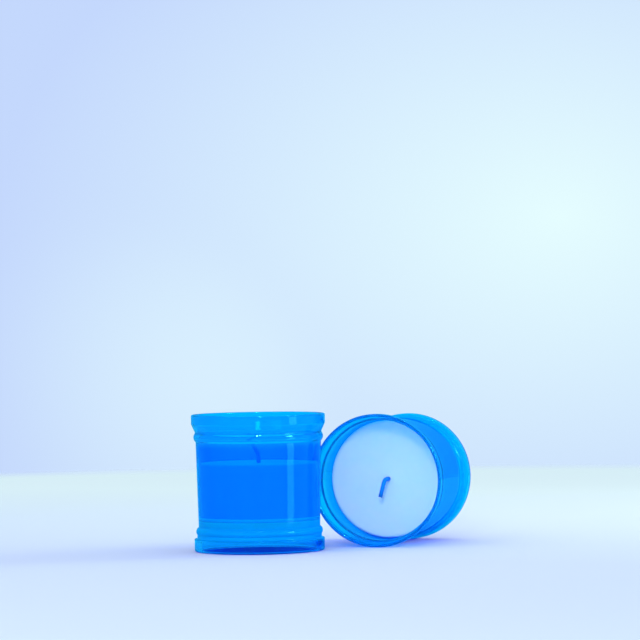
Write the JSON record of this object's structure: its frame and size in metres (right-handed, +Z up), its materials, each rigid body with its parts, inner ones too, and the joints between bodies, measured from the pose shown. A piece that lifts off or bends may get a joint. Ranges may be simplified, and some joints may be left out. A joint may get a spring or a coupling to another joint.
{
  "type": "votive candle pair",
  "caption": "Votive candles in glossy see-through blue plastic cups with beaded, flared rims; one stands and one lies on its side, pale wax and bent wick showing.",
  "frame": {"origin": "centre of the standing cup's foot, on the surface that both candles rest on", "axes": "+Z up along the standing candle; +X to the lying candle's side; the viewer is on -Y"},
  "size_m": [0.1272, 0.1038, 0.0612],
  "materials": {
    "cup_plastic": "clear blue polystyrene, moulded and glossy",
    "candle_wax": "paraffin wax, satin",
    "wick_cotton": "waxed braid",
    "wick_thread": "twisted thread",
    "tab_tin": "tinned sheet, stamped"
  },
  "bodies": {
    "standing_cup": {"standing_cup": "cup_plastic"},
    "standing_refill": {"standing_wax": "candle_wax", "standing_wick_braid": "wick_cotton", "standing_wick_core": "wick_thread", "standing_wick_tab": "tab_tin"},
    "lying_cup": {"lying_cup": "cup_plastic"},
    "lying_refill": {"lying_wax": "candle_wax", "lying_wick_braid": "wick_cotton", "lying_wick_core": "wick_thread", "lying_wick_tab": "tab_tin"}
  },
  "joints": [
    {"name": "standing_refill_lift", "type": "slide", "parent": "standing_cup", "child": "standing_refill", "axis": [0, 0, 1], "range_m": [0, 0.06]},
    {"name": "lying_candle_tip", "type": "hinge", "parent": "standing_cup", "child": "lying_cup", "pos_m": [0.06934, 0.06552, 0], "axis": [-0.9603, 0.279, 0], "range_deg": [0, 89.13]},
    {"name": "lying_refill_pull", "type": "slide", "parent": "lying_cup", "child": "lying_refill", "axis": [-0.279, -0.9602, 0.0152], "range_m": [0, 0.024]}
  ]
}
